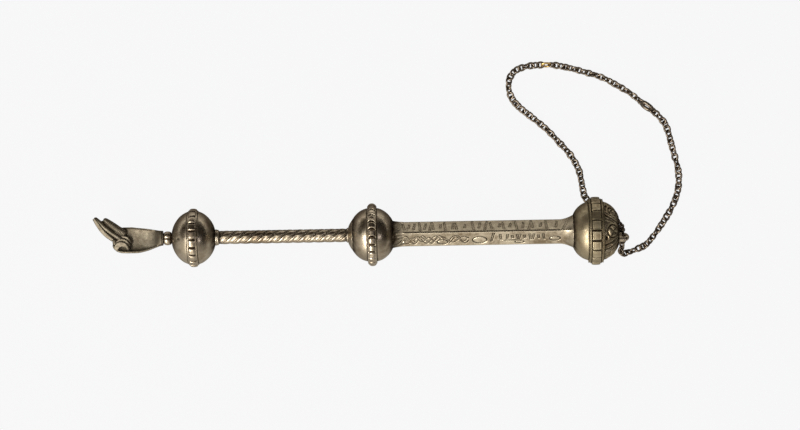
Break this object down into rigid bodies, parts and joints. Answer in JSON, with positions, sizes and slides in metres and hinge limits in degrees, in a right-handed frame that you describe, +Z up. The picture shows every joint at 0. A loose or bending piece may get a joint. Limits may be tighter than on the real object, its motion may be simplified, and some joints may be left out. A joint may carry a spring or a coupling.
{
  "type": "torah pointer",
  "caption": "Lying silver torah pointer with a small pointing hand, three banded knops, a twisted stem, an engraved square shaft and a looped chain.",
  "frame": {"origin": "on the resting surface, under the middle of the middle knop's band", "axes": "+X along the pointer from the hand towards the chain, +Z up, +Y to the side where the chain's loop lies"},
  "size_m": [0.2649, 0.0917, 0.0301],
  "materials": {
    "silver": "old tarnished silver, darker in the hollows and bright on the ridges",
    "golden_silver": "old silver with a slightly golden tarnish",
    "dark_silver": "chain blackened with tarnish, glinting where it is rubbed",
    "brass": "dull brass repair link"
  },
  "bodies": {
    "root": {"pointing_hand": "silver", "wrist_bead": "silver", "hand_knop": "silver", "hand_knop_band": "silver", "stem_collar": "silver", "twisted_stem": "silver", "stem_ferrule": "silver", "middle_knop": "silver", "middle_knop_band": "silver", "square_shaft": "silver", "end_knop": "golden_silver", "end_knop_band": "golden_silver", "chain_lug": "silver", "lug_ring": "dark_silver", "near_chain_1": "dark_silver", "near_chain_2": "dark_silver", "near_chain_3": "dark_silver", "near_chain_4": "dark_silver", "brass_link": "brass", "middle_chain_1": "dark_silver", "middle_chain_2": "dark_silver", "joining_ring": "dark_silver", "far_chain_1": "dark_silver", "far_chain_2": "dark_silver", "far_chain_3": "dark_silver"}
  },
  "joints": []
}
